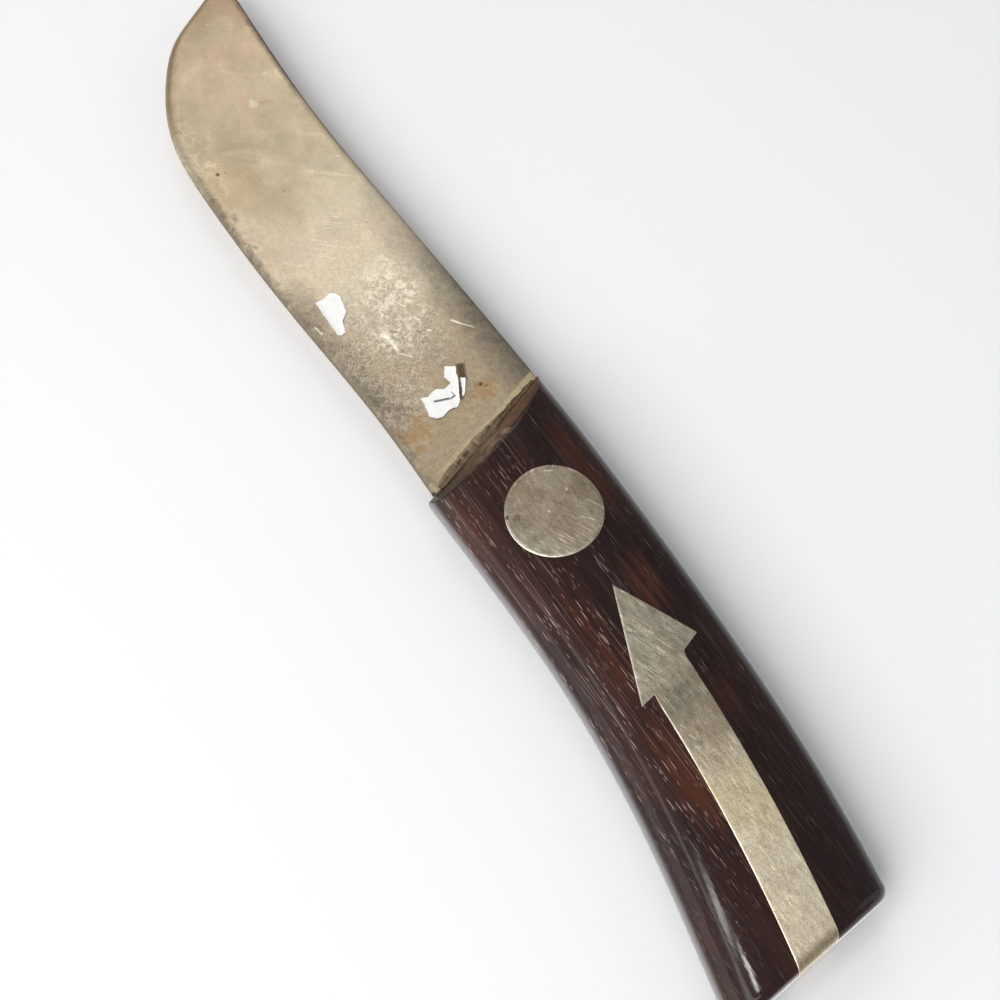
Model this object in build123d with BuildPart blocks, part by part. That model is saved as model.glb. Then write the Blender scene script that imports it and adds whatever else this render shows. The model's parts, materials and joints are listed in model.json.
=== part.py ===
"""Fixed-blade knife with a crowned rosewood handle and flush metal inlays, front and back.

Row frame: the knife lies flat. +X runs along it to the blade's point, +Y is the cutting-edge side,
+Z is up, out of the front face. The origin is the middle of the overall box, on its underside.
The outlines are drawn from the middle of the mouth, where the blade leaves the handle.
Everything is mirrored about the middle plane of the blade.
"""
from build123d import *
import math
import os

# ---------------------------------------------------------------- driving dimensions (mm)
HANDLE_HALF = 6.5             # half of the handle's thickness, which is the same all along
MOUTH_X = -3.34               # middle of the mouth, from the row's origin
MOUTH_Y = -1.69
BUTT_X = -100.85              # butt face on the handle's middle line, from the mouth
BUTT_SKEW = 8.6               # degrees that the butt leans from square
BUTT_ROUND = 1.9              # rounding of the butt's edge

# Plan of the handle: station, spine side, belly side. The first and last lie past the cut ends.
HANDLE_STATIONS = [
    (10.0, -13.0, 15.3),
    (-6.0, -14.4, 14.65),
    (-30.0, -15.4, 13.0),
    (-55.0, -15.7, 12.85),
    (-80.0, -14.8, 15.5),
    (-112.0, -10.4, 20.5),
]
CROWN = 0.76                  # how far the flat of the crown reaches towards the sides
SIDE = 0.66                   # how far the upright of the sides reaches towards the top

BLADE_HALF = 1.2              # half of the blade's thickness at the mouth
TIP_HALF = 0.75               # and at the point
BLADE_LENGTH = 110.1          # from the mouth's middle to the point
EDGE_WIDTH = 1.5              # ground bevel along the cutting edge
EDGE_DEPTH = 0.75
TIP_Y = -7.1
SHOULDER = (5.1, -13.2)       # where the spine meets the mouth; the belly corner is opposite

TANG_HALF_WIDTH = 8.5
TANG_END_X = -93.0
TANG_END_Y = 2.6
BEDDING_SIDE = 0.6            # cement round the tang's edges
BEDDING_FACE = 0.25           # and over its faces

BEVEL_RUN = 3.9               # length of the handle's front bevel, along the handle
INLAY_DEPTH = 1.2
LIP_LOW = 4.4                 # height above the middle plane where the arrow's lip ends

DISC_CENTRE = (-19.6, -1.3)
DISC_RADIUS = 8.3
SHAFT_WIDTH = 8.0
SHAFT_LINE = [(-53.0, -1.95), (-76.5, -0.65), (-106.0, 3.7)]
ARROW_TIP = (-35.4, -2.4)
BARB_SPINE = (-49.2, -9.8)
BARB_BELLY = (-55.2, 4.7)

PEG_RADIUS = 0.8
PEG_LENGTH = 2.2
ARROW_PEGS = [(-50.5, 1.2), (-66.0, -1.6), (-93.0, 1.6)]
PIN_RADIUS = 2.0
PIN_HALF_LENGTH = 4.7
PINS = {"front": (-19.6, -1.3), "middle": (-47.0, -2.2), "rear": (-78.0, -0.5)}

# Cement at the mouth: place along it towards the belly, and how far out the cement reaches there.
CEMENT_REACH = [(-13.2, 0.35), (-7.5, 0.7), (-3.0, 0.85), (1.5, 1.45), (9.5, 1.35), (12.6, 0.7)]
CEMENT_HEIGHT = 0.45
PAPER = 0.15

# ---------------------------------------------------------------- planes
MID = Plane(origin=(MOUTH_X, MOUTH_Y, HANDLE_HALF))
lean = math.atan2(SHOULDER[0], -SHOULDER[1])
butt_lean = math.radians(BUTT_SKEW)
taper = math.atan((BLADE_HALF - TIP_HALF) / BLADE_LENGTH)
bevel_rise = HANDLE_HALF - BLADE_HALF
bevel_slope = math.atan2(bevel_rise, BEVEL_RUN)

# Both normals point out of the handle.
mouth_out = Vector(math.cos(lean), math.sin(lean), 0)
butt_out = Vector(-math.cos(butt_lean), -math.sin(butt_lean), 0)
MOUTH = Plane(origin=MID.origin, z_dir=mouth_out)
BUTT = Plane(origin=MID.origin + Vector(BUTT_X, 0, 0), z_dir=butt_out)
BEVEL = Plane(
    origin=MID.origin + Vector(0, 0, BLADE_HALF),
    z_dir=mouth_out * math.sin(bevel_slope) + Vector(0, 0, math.cos(bevel_slope)),
)
BACK_BEVEL = Plane(
    origin=MID.origin - Vector(0, 0, BLADE_HALF),
    z_dir=mouth_out * math.sin(bevel_slope) - Vector(0, 0, math.cos(bevel_slope)),
)
# The blade's two flats, which close on the middle plane towards the point.
FLAT = Plane(
    origin=MID.origin + Vector(0, 0, BLADE_HALF),
    x_dir=(math.cos(taper), 0, -math.sin(taper)),
    z_dir=(math.sin(taper), 0, math.cos(taper)),
)
BACK_FLAT = Plane(
    origin=MID.origin - Vector(0, 0, BLADE_HALF),
    z_dir=(math.sin(taper), 0, -math.cos(taper)),
)


def station_plane(x, y):
    """The plane square across the handle at x and y, with its own x along +Y and its y along +Z."""
    return Plane(origin=MID.origin + Vector(x, y, 0), x_dir=(0, 1, 0), z_dir=(1, 0, 0))


def at_mouth(along, out):
    """A place near the mouth line: along it towards the belly, and out over the blade."""
    return (out * mouth_out.X - along * mouth_out.Y, along * mouth_out.X + out * mouth_out.Y)


def export(piece, name):
    """Label the piece with its node's name and write it."""
    piece.label = name
    export_step(piece, f"parts/{name}.step")


os.makedirs("parts", exist_ok=True)

# ---------------------------------------------------------------- blade and tang
with BuildPart() as blade:
    with BuildSketch(MID) as blade_plan:
        with BuildLine():
            spine = Spline(
                SHOULDER,
                (30.0, -10.95),
                (51.0, -8.85),
                (72.0, -7.1),
                (92.0, -6.8),
                (BLADE_LENGTH, TIP_Y),
            )
            belly = Spline(
                (BLADE_LENGTH, TIP_Y),
                (104.4, 2.6),
                (101.6, 7.0),
                (94.4, 12.9),
                (82.0, 18.1),
                (67.0, 18.9),
                (37.0, 16.7),
                (11.0, 13.9),
                (-SHOULDER[0], -SHOULDER[1]),
            )
            Line(belly @ 1, spine @ 0)
        make_face()
    extrude(amount=BLADE_HALF, both=True)
    outer = blade.faces().sort_by(SortBy.AREA)[-2:]
    for flat in outer:
        rim = [edge for edge in flat.edges() if edge.center().Y > MOUTH_Y + 5 and edge.length > 100]
        chamfer(rim, length=EDGE_WIDTH, length2=EDGE_DEPTH, reference=flat)
    # The tang runs back from between the shoulders, a little narrower towards its rounded end.
    with BuildSketch(MID) as tang_plan:
        with BuildLine():
            Polyline(
                (4.0, -TANG_HALF_WIDTH - 1.5),
                (TANG_END_X, TANG_END_Y - TANG_HALF_WIDTH + 2.5),
                (TANG_END_X, TANG_END_Y + TANG_HALF_WIDTH - 2.5),
                (-2.0, TANG_HALF_WIDTH - 0.5),
                close=True,
            )
        make_face()
        fillet(tang_plan.vertices().group_by(Axis.X)[0], 4.0)
    extrude(amount=BLADE_HALF, both=True)
    split(bisect_by=FLAT, keep=Keep.BOTTOM)
    split(bisect_by=BACK_FLAT, keep=Keep.BOTTOM)
    with BuildSketch(MID):
        with Locations(*PINS.values()):
            Circle(PIN_RADIUS)
    extrude(amount=BLADE_HALF, both=True, mode=Mode.SUBTRACT)

# ---------------------------------------------------------------- the front half's outer shape
with BuildPart() as half_blank:
    for x, spine_y, belly_y in HANDLE_STATIONS:
        centre = (spine_y + belly_y) / 2
        reach = (belly_y - spine_y) / 2
        corner = (CROWN * reach, SIDE * HANDLE_HALF)
        with BuildSketch(station_plane(x, centre)):
            with BuildLine():
                Bezier((reach, 0), (reach, corner[1]), (corner[0], HANDLE_HALF), (0, HANDLE_HALF))
                mirror(about=Plane.YZ)
                mirror(about=Plane.XZ)
            make_face()
    loft()
    split(bisect_by=MOUTH, keep=Keep.BOTTOM)
    split(bisect_by=BUTT, keep=Keep.BOTTOM)
    fillet(half_blank.faces().sort_by(Axis.X)[0].edges(), BUTT_ROUND)
    split(bisect_by=MID, keep=Keep.TOP)
    split(bisect_by=BEVEL, keep=Keep.BOTTOM)
handle_blank = half_blank.part
inlay_floor = handle_blank.moved(Location((INLAY_DEPTH, 0, -INLAY_DEPTH)))

# ---------------------------------------------------------------- recesses and the inlays in them
with BuildPart() as disc_recess:
    with BuildSketch(MID.offset(LIP_LOW)):
        with Locations(DISC_CENTRE):
            Circle(DISC_RADIUS)
    extrude(amount=HANDLE_HALF)
    add(inlay_floor, mode=Mode.SUBTRACT)

with BuildPart() as arrow_recess:
    with BuildSketch(MID.offset(LIP_LOW)):
        with BuildLine():
            shaft_line = ThreePointArc(*SHAFT_LINE)
        trace(lines=[shaft_line], line_width=SHAFT_WIDTH)
        with BuildLine():
            Polyline(ARROW_TIP, BARB_SPINE, (-51.4, -5.9), (-54.5, 1.95), BARB_BELLY, close=True)
        make_face()
    extrude(amount=HANDLE_HALF)
    add(inlay_floor, mode=Mode.SUBTRACT)

with BuildPart() as front_disc:
    add(disc_recess.part)
    add(handle_blank, mode=Mode.INTERSECT)

with BuildPart() as front_arrow:
    add(arrow_recess.part)
    add(handle_blank, mode=Mode.INTERSECT)

# Pegs under the inlays stand in blind holes below the recesses.
with BuildPart() as disc_peg_holes:
    with BuildSketch(MID.offset(HANDLE_HALF - INLAY_DEPTH - PEG_LENGTH)):
        with Locations(DISC_CENTRE):
            with PolarLocations(DISC_RADIUS - 2.6, 2, start_angle=90):
                Circle(PEG_RADIUS)
    extrude(amount=PEG_LENGTH + INLAY_DEPTH)

with BuildPart() as arrow_peg_holes:
    with BuildSketch(MID.offset(HANDLE_HALF - INLAY_DEPTH - PEG_LENGTH)):
        with Locations(*ARROW_PEGS):
            Circle(PEG_RADIUS)
    extrude(amount=PEG_LENGTH + INLAY_DEPTH)

with BuildPart() as disc_pegs:
    add(disc_peg_holes.part)
    add(inlay_floor, mode=Mode.INTERSECT)

with BuildPart() as arrow_pegs:
    add(arrow_peg_holes.part)
    add(inlay_floor, mode=Mode.INTERSECT)

# ---------------------------------------------------------------- tang pins, pocket and bedding
pins = {}
for place, centre in PINS.items():
    with BuildPart() as tang_pin:
        with BuildSketch(MID):
            with Locations(centre):
                Circle(PIN_RADIUS)
        extrude(amount=PIN_HALF_LENGTH, both=True)
    pins[place] = tang_pin.part

with BuildPart() as pocket:
    with BuildSketch(MID):
        add(tang_plan.sketch_local)
        offset(amount=BEDDING_SIDE)
    extrude(amount=BLADE_HALF + BEDDING_FACE, both=True)
    split(bisect_by=MOUTH, keep=Keep.BOTTOM)

with BuildPart() as tang_bedding:
    add(pocket.part)
    split(bisect_by=BEVEL, keep=Keep.BOTTOM)
    split(bisect_by=BACK_BEVEL, keep=Keep.BOTTOM)
    add(blade.part, mode=Mode.SUBTRACT)
    add(pins.values(), mode=Mode.SUBTRACT)

# ---------------------------------------------------------------- front half of the handle
with BuildPart() as front_scale:
    add(handle_blank)
    for hollow in (disc_recess, arrow_recess, disc_peg_holes, arrow_peg_holes, pocket):
        add(hollow.part, mode=Mode.SUBTRACT)
    add(pins.values(), mode=Mode.SUBTRACT)

# ---------------------------------------------------------------- cement at the mouth, label scraps
with BuildPart() as front_mouth_cement:
    with BuildSketch(FLAT):
        with BuildLine():
            inner = [at_mouth(along, -0.1) for along, _ in CEMENT_REACH]
            outer = [at_mouth(along, reach) for along, reach in CEMENT_REACH]
            Polyline(*inner, *reversed(outer), close=True)
        make_face()
    extrude(amount=CEMENT_HEIGHT)
    add(front_scale.part, mode=Mode.SUBTRACT)
    add(tang_bedding.part, mode=Mode.SUBTRACT)

with BuildPart() as label_scrap_upper:
    with BuildSketch(FLAT):
        Polygon((37.7, 12.3), (38.0, 9.4), (37.0, 8.1), (35.0, 8.3), (33.1, 8.8), (32.1, 10.1), (29.6, 10.8),
                (29.6, 11.8), (33.4, 12.3), align=None)
    extrude(amount=PAPER)

with BuildPart() as label_scrap_lower:
    with BuildSketch(FLAT):
        Polygon((14.9, -0.5), (14.0, -2.1), (11.6, -1.5), (8.4, -0.4), (7.2, 1.3), (6.8, 4.5), (8.0, 6.5),
                (11.8, 6.1), (11.4, 5.0), (11.2, 1.6), (13.2, 0.5), align=None)
    extrude(amount=PAPER)

# ---------------------------------------------------------------- write, mirroring the back
export(blade.part, "blade")
export(tang_bedding.part, "tang_bedding")
for place, pin in pins.items():
    export(pin, f"tang_pin_{place}")
mirrored = {
    "scale": front_scale.part,
    "disc": front_disc.part,
    "arrow": front_arrow.part,
    "disc_pegs": disc_pegs.part,
    "arrow_pegs": arrow_pegs.part,
    "mouth_cement": front_mouth_cement.part,
}
for name, piece in mirrored.items():
    export(piece, f"front_{name}")
    export(mirror(piece, about=MID), f"back_{name}")
export(label_scrap_upper.part, "label_scrap_upper")
export(label_scrap_lower.part, "label_scrap_lower")
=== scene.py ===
"""Looks of the inlaid fixed-blade knife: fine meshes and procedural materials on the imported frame."""

import json
import math

import bmesh
import bpy
import numpy as np
from mathutils import Matrix, Vector
from mathutils.geometry import delaunay_2d_cdt


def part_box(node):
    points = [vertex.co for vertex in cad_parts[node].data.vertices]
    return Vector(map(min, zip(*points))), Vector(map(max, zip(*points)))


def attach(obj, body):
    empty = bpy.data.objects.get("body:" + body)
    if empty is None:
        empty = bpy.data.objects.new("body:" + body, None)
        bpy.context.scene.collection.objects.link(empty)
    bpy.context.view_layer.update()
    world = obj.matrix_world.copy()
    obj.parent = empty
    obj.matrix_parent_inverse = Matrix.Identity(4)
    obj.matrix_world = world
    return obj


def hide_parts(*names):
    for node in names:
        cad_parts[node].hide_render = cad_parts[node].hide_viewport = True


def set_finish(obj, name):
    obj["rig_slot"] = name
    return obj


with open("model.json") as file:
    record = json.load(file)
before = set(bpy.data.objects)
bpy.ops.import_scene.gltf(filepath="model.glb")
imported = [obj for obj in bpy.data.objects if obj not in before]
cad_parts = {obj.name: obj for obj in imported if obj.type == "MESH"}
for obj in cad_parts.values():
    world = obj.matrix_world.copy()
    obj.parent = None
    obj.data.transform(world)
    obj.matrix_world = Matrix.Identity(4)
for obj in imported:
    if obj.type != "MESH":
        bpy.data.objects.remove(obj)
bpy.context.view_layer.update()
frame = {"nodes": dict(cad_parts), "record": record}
mounts = {m["name"]: m for m in frame["record"]["mounts"]}

MM = 0.001
scene = bpy.context.scene
MOUTH = np.array(mounts["blade_sheath"]["pos_m"]) / MM
BUTT = np.array(mounts["butt_face"]["pos_m"]) / MM - MOUTH
BUTT_AXIS = np.array(mounts["butt_face"]["axis"])
HANDLE_HALF = (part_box("front_scale")[1].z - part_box("front_scale")[0].z) / MM
BLADE_HALF = (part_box("blade")[1].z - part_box("blade")[0].z) / MM / 2

# ------------------------------ the design's plan, mm from the mouth
SHOULDER = (5.1, -13.2)
SPINE = [SHOULDER, (30.0, -10.95), (51.0, -8.85), (72.0, -7.1), (92.0, -6.8), (110.1, -7.1)]
BELLY = [(-5.1, 13.2), (11.0, 13.9), (37.0, 16.7), (67.0, 18.9), (82.0, 18.1), (94.4, 12.9), (101.6, 7.0),
         (104.4, 2.6), (110.1, -7.1)]
TIP_HALF = 0.75
EDGE_WIDTH = 1.5
EDGE_DEPTH = 0.75
HANDLE_STATIONS = [(10.0, -13.0, 15.3), (-6.0, -14.4, 14.65), (-30.0, -15.4, 13.0), (-55.0, -15.7, 12.85),
                   (-80.0, -14.8, 15.5), (-112.0, -10.4, 20.5)]
CROWN, SIDE = 0.76, 0.66
BUTT_ROUND = 1.9
LIP_LOW = 4.4
BEVEL_RUN = 3.9
INLAY_DEPTH = 1.2
INLAY_PROUD = 0.1
INLAY_EDGE = 0.22
TANG = [(4.0, -10.0), (-93.0, -3.4), (-93.0, 8.6), (-2.0, 8.0)]
SHAFT_WIDTH = 8.0
SHAFT_LINE = [(-53.0, -1.95), (-76.5, -0.65), (-106.0, 3.7)]
ARROW_TIP, BARB_SPINE, BARB_BELLY = (-35.4, -2.4), (-49.2, -9.8), (-55.2, 4.7)
NOTCH_SPINE, NOTCH_BELLY = (-50.8, -6.2), (-54.6, 1.95)

# Cement at the mouth: place along it towards the belly, and how far out the cement reaches there.
CEMENT_REACH = [(-13.2, 0.35), (-7.5, 0.7), (-3.0, 0.85), (1.5, 1.45), (9.5, 1.35), (12.6, 0.7)]
# Chips in it: place along, half length, depth.
CEMENT_CHIPS = [
    (-8.0, 0.9, 0.4), (-5.4, 1.6, 0.45), (-1.6, 0.7, 0.3), (2.4, 0.5, 0.35), (4.6, 0.9, 0.6),
    (6.6, 0.7, 0.5),
]

# Outlines of the torn label scraps.
UPPER_SCRAP = [
    (37.6, 12.4), (37.6, 10.9), (38.0, 9.4), (37.5, 8.4), (36.6, 8.0), (35.0, 8.3), (33.1, 8.7),
    (32.1, 10.0), (31.0, 10.4), (29.7, 10.7), (29.6, 11.6), (30.1, 12.2),
]
LOWER_SCRAP = [
    (15.0, -0.5), (14.1, -2.2), (11.8, -1.4), (9.9, -0.5), (7.8, 0.6), (7.1, 1.4), (7.4, 2.8),
    (6.8, 4.5), (7.1, 5.6), (8.0, 6.5), (11.1, 6.0), (11.9, 6.1), (11.4, 5.0), (12.0, 3.0), (11.2, 1.6),
    (11.8, 0.1), (13.2, 0.5),
]
LOWER_SLIVER = [
    (11.5, -1.8), (11.2, -2.5), (10.2, -2.0), (8.5, -0.8), (8.2, -0.2), (9.2, -0.7),
]

# ------------------------------ marks, mm from the mouth
# Rust specks on the blade: place and radius.
BLADE_SPECKS = [
    (70.3, 14.6, 0.5), (8.9, -4.3, 0.55), (8.2, -5.0, 0.3), (70.0, 13.2, 0.2), (47.5, -3.5, 0.2),
    (61.0, 6.0, 0.18),
]
# Single bright marks on the blade: both ends and width.
BLADE_MARKS = [
    (22.6, -6.2, 20.6, -7.6, 0.26), (21.2, -7.2, 19.0, -9.1, 0.14), (26.4, 5.7, 24.6, 4.6, 0.5),
    (24.8, 4.8, 21.6, 4.7, 0.42), (21.6, 4.9, 19.4, 2.9, 0.16), (26.4, -1.1, 25.2, -1.6, 0.28),
    (22.9, -1.6, 22.3, -2.5, 0.3), (33.8, 14.8, 31.4, 14.3, 0.22), (62.9, -5.6, 62.2, -6.6, 0.08),
]
# Single bright marks on the inlays: both ends and width.
INLAY_MARKS = [
    (-62.6, 1.0, -64.2, 0.2, 0.2), (-64.8, 1.2, -65.6, 0.6, 0.34), (-60.6, 1.2, -61.6, 0.8, 0.14),
    (-73.3, -4.2, -74.5, -4.9, 0.25), (-43.0, -0.1, -43.9, -0.9, 0.42), (-44.8, 1.9, -45.9, 1.5, 0.24),
    (-37.0, -2.8, -38.2, -4.0, 0.24), (-48.0, -2.6, -49.8, -3.4, 0.16),
    (-45.0, -3.0, -46.2, -3.6, 0.18), (-17.2, -4.8, -17.6, -5.2, 0.34), (-19.2, -0.2, -19.5, -0.7, 0.3),
    (-12.6, -3.4, -13.4, -5.0, 0.24), (-20.5, -7.0, -22.8, -8.4, 0.18),
    (-22.6, -4.2, -24.8, -6.6, 0.12),
]
# Edges of the arrow with a painted highlight, where the rounded edge catches the light: both ends and
# width.
LIT_EDGES = [
    (*ARROW_TIP, *BARB_BELLY, 0.42), (*BARB_BELLY, *NOTCH_BELLY, 0.3), (-56.0, 2.1, -67.0, 2.4, 0.3),
    (-78.0, 3.6, -104.5, 7.4, 0.45),
]
# Redder patches of the wood: place, radius and strength.
WOOD_GLOWS = [
    (-15, 11.5, 4.0, 0.6), (-38, -7.2, 3.2, 0.65), (-38.5, 4.5, 3.5, 0.55), (-48, 4.6, 3.5, 0.6),
    (-62, 4.6, 3.4, 0.6), (-71, 5.0, 4.2, 0.8), (-12, -9.5, 4.0, 0.4), (-60, -8.2, 2.6, 0.3),
    (-30, 10, 4.0, 0.3), (-20, -11, 2.6, 0.35),
]

lean = math.atan2(SHOULDER[0], -SHOULDER[1])
mouth_out = np.array([math.cos(lean), math.sin(lean)])
bevel_tan = (HANDLE_HALF - BLADE_HALF) / BEVEL_RUN

# How finely the meshes are divided.
SKIN_COLUMNS = 141
SKIN_ROWS = 380
BEVEL_ROWS = 26
BLADE_ROWS = 421
BEAD_COLUMNS = 520
BEAD_ROWS = 15
INLAY_STEP = 0.4
PAPER_STEP = 0.22


# ------------------------------ mesh helpers
def curve_through(points, fractions):
    """Points of a natural cubic through a few points, at fractions of its length."""
    p = np.array(points, float)
    t = np.concatenate([[0], np.cumsum(np.linalg.norm(np.diff(p, axis=0), axis=1))])
    h = np.diff(t)
    lhs = np.eye(len(p))
    rhs = np.zeros_like(p)
    for i in range(1, len(p) - 1):
        lhs[i, i - 1:i + 2] = h[i - 1], 2 * (h[i - 1] + h[i]), h[i]
        rhs[i] = 6 * ((p[i + 1] - p[i]) / h[i] - (p[i] - p[i - 1]) / h[i - 1])
    bend = np.linalg.solve(lhs, rhs)

    def at(s):
        k = np.clip(np.searchsorted(t, s) - 1, 0, len(h) - 1)
        a = ((t[k + 1] - s) / h[k])[:, None]
        b = 1 - a
        c = (h[k] ** 2)[:, None] / 6
        return a * p[k] + b * p[k + 1] + ((a ** 3 - a) * bend[k] + (b ** 3 - b) * bend[k + 1]) * c

    fine = at(np.linspace(0, t[-1], 4000))
    run = np.concatenate([[0], np.cumsum(np.linalg.norm(np.diff(fine, axis=0), axis=1))])
    wanted = np.asarray(fractions) * run[-1]
    return np.stack([np.interp(wanted, run, fine[:, i]) for i in range(2)], axis=1)


def make(name, points, faces, slot, smooth_angle=35):
    """A mesh piece from points in mm measured from the mouth, riding on the one body."""
    mesh = bpy.data.meshes.new(name)
    mesh.from_pydata(((np.asarray(points) + MOUTH) * MM).tolist(), [], [list(f) for f in faces])
    obj = bpy.data.objects.new(name, mesh)
    scene.collection.objects.link(obj)
    bm = bmesh.new()
    bm.from_mesh(mesh)
    bmesh.ops.remove_doubles(bm, verts=bm.verts, dist=1e-7)
    bmesh.ops.recalc_face_normals(bm, faces=bm.faces)
    bm.to_mesh(mesh)
    bm.free()
    mesh.shade_smooth()
    mesh.set_sharp_from_angle(angle=math.radians(smooth_angle))
    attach(obj, "root")
    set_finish(obj, slot)
    return obj


def grid_faces(rows, columns, start=0, wrap=False):
    """Quads between rows of points."""
    faces = []
    last = columns if wrap else columns - 1
    for i in range(rows - 1):
        for j in range(last):
            a = start + i * columns + j
            b = start + i * columns + (j + 1) % columns
            faces.append((a, b, b + columns, a + columns))
    return faces


# ------------------------------ the handle's skin
stations = np.array(HANDLE_STATIONS)
spine_side = np.polyfit(stations[:, 0], stations[:, 1], len(stations) - 1)
belly_side = np.polyfit(stations[:, 0], stations[:, 2], len(stations) - 1)


def section(around):
    """The unit half section at 0 (belly side) to 1 (spine side): offset across and height."""
    fold = np.abs(np.asarray(around) * 2 - 1)
    hand = np.sign(0.5 - np.asarray(around))
    t = 1 - fold
    across = (1 - t) ** 3 + 3 * (1 - t) ** 2 * t + 3 * (1 - t) * t ** 2 * CROWN
    height = 3 * (1 - t) ** 2 * t * SIDE + 3 * (1 - t) * t ** 2 + t ** 3
    return hand * across, height


def skin(x, around):
    """Points of the handle's outer skin above the middle plane, in mm from the mouth."""
    low = np.polyval(spine_side, x)
    high = np.polyval(belly_side, x)
    across, height = section(around)
    y = (low + high) / 2 + across * (high - low) / 2
    return np.stack([x + 0 * y, y, height * HANDLE_HALF + 0 * y], axis=-1)


def skin_normal(x, around):
    """Outward normals of the section at those places."""
    step = 1e-4
    ahead = skin(x, np.minimum(around + step, 1))
    behind = skin(x, np.maximum(around - step, 0))
    d = ahead - behind
    n = np.stack([0 * d[..., 0], d[..., 2], -d[..., 1]], axis=-1)
    return n / np.linalg.norm(n, axis=-1, keepdims=True)


def butt_x(y):
    """Where the butt plane lies at a given y."""
    return BUTT[0] - (y - BUTT[1]) * BUTT_AXIS[1] / BUTT_AXIS[0]


def mouth_gap(height):
    """How far behind the mouth line the front bevel has a given height."""
    return np.maximum(height - BLADE_HALF, 0) / bevel_tan


def handle_half(name, node, front):
    """One half of the handle: butt, rounded edge, skin, front bevel and the middle face."""
    around = 0.5 - 0.5 * np.cos(np.linspace(0, math.pi, SKIN_COLUMNS))
    around = 0.35 * around + 0.65 * np.linspace(0, 1, SKIN_COLUMNS)
    height = section(around)[1] * HANDLE_HALF
    # The two ends of each long line.
    start = np.full_like(around, BUTT[0])
    end = np.zeros_like(around)
    for _ in range(12):
        start = butt_x(skin(start, around)[:, 1]) + BUTT_ROUND
        end = (-mouth_gap(height) - skin(end, around)[:, 1] * mouth_out[1]) / mouth_out[0]
    rows = []
    # Butt face and rounded edge.
    normal = skin_normal(start, around)
    rim = skin(start, around)
    corner = rim - normal * BUTT_ROUND
    corner[:, 0] = butt_x(corner[:, 1])
    for k in np.linspace(0, 1, 7):
        rows.append(corner * [1, 1, k])
    for phi in np.radians(np.linspace(80, 5, 10)):
        row = rim - normal * BUTT_ROUND * (1 - math.cos(phi))
        row[:, 0] = butt_x(row[:, 1]) + BUTT_ROUND * (1 - math.sin(phi))
        rows.append(row)
    # The skin up to a short way from the mouth, a soft edge, and the bevel down to the blade.
    soft = np.minimum(0.5, mouth_gap(height) * 0.5 + 0.05)
    for k in np.linspace(0, 1, SKIN_ROWS):
        rows.append(skin(start + (end - soft - start) * k, around))
    edge = skin(end, around)
    lateral = edge[:, 1] * mouth_out[0] - edge[:, 0] * mouth_out[1]
    low = np.minimum(height, BLADE_HALF)
    foot = np.stack([-lateral * mouth_out[1], lateral * mouth_out[0], low], axis=-1)
    down = foot - edge
    length = np.maximum(np.linalg.norm(down, axis=1, keepdims=True), 1e-6)
    turn = edge + down / length * np.minimum(soft[:, None], length * 0.6)
    before = skin(end - soft, around)
    for k in np.linspace(0, 1, 7)[1:]:
        rows.append(before * (1 - k) ** 2 + edge * 2 * k * (1 - k) + turn * k ** 2)
    for k in np.linspace(0, 1, BEVEL_ROWS)[1:]:
        rows.append(turn + (foot - turn) * k)
    rows.append(foot * [1, 1, 0])
    points = np.array(rows)
    if not front:
        points = points * [1, 1, -1]
    count, columns = points.shape[:2]
    faces = grid_faces(count, columns)
    for i in range(count - 1):
        a, b = i * columns, (i + 1) * columns
        faces.append((a, b, b + columns - 1, a + columns - 1))
    obj = make(name, points.reshape(-1, 3), faces, "rosewood")
    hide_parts(node)
    return obj


# ------------------------------ blade
def blade_half_at(x):
    return BLADE_HALF + (TIP_HALF - BLADE_HALF) * np.clip(x / SPINE[-1][0], 0, 1)


def make_blade():
    """The blade as one closed skin round its spine and cutting edge, with the tang as a plate behind it."""
    along = np.linspace(0, 1, BLADE_ROWS)
    spine = curve_through(SPINE, along)
    belly = curve_through(BELLY, along)
    # Places across, from the spine to the edge, closer together in the bevel and at the spine's corner.
    corner = np.array([0, 0.12, 0.3, 0.5, 0.75, 1.0, 1.5, 2.2]) / 26
    across = np.concatenate([corner, np.linspace(0.11, 0.92, 54), np.linspace(0.925, 0.995, 18), [1.0]])
    width = np.linalg.norm(belly - spine, axis=1)[:, None]
    plan = spine[:, None] + (belly - spine)[:, None] * across[None, :, None]
    to_edge = (1 - across)[None] * width
    to_spine = across[None] * width
    half = blade_half_at(plan[..., 0])
    bevel = np.clip(1 - to_edge / np.minimum(EDGE_WIDTH * 1.5, width * 0.45), 0, 1)
    spine_round = np.clip(1 - to_spine / np.minimum(0.4, width * 0.2 + 1e-9), 0, 1)
    z = half - np.minimum(half - 0.1, EDGE_DEPTH) * bevel ** 4 - 0.14 * spine_round ** 2
    top = np.concatenate([plan, z[..., None]], axis=-1)
    bottom = top[:, ::-1] * [1, 1, -1]
    ring = np.concatenate([top, bottom], axis=1)
    count, columns = ring.shape[:2]
    faces = grid_faces(count, columns, wrap=True)
    faces.append(tuple(range(columns)))
    points = ring.reshape(-1, 3)
    tang = np.array([(x, y, z) for z in (-BLADE_HALF, BLADE_HALF) for x, y in TANG])
    k = len(points)
    points = np.concatenate([points, tang])
    faces += [(k, k + 1, k + 2, k + 3), (k + 4, k + 5, k + 6, k + 7)]
    faces += [(k + i, k + (i + 1) % 4, k + 4 + (i + 1) % 4, k + 4 + i) for i in range(4)]
    obj = make("blade_skin", points, faces, "blade_metal", smooth_angle=40)
    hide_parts("blade")
    return obj


# ------------------------------ inlays
def around_at(x, y):
    """The place round the section that lies at y, for each x."""
    table = np.linspace(0, 1, 401)
    across = section(table)[0]
    low = np.polyval(spine_side, x)
    high = np.polyval(belly_side, x)
    wanted = (y - (low + high) / 2) / ((high - low) / 2)
    return np.interp(-wanted, -across, table)


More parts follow.
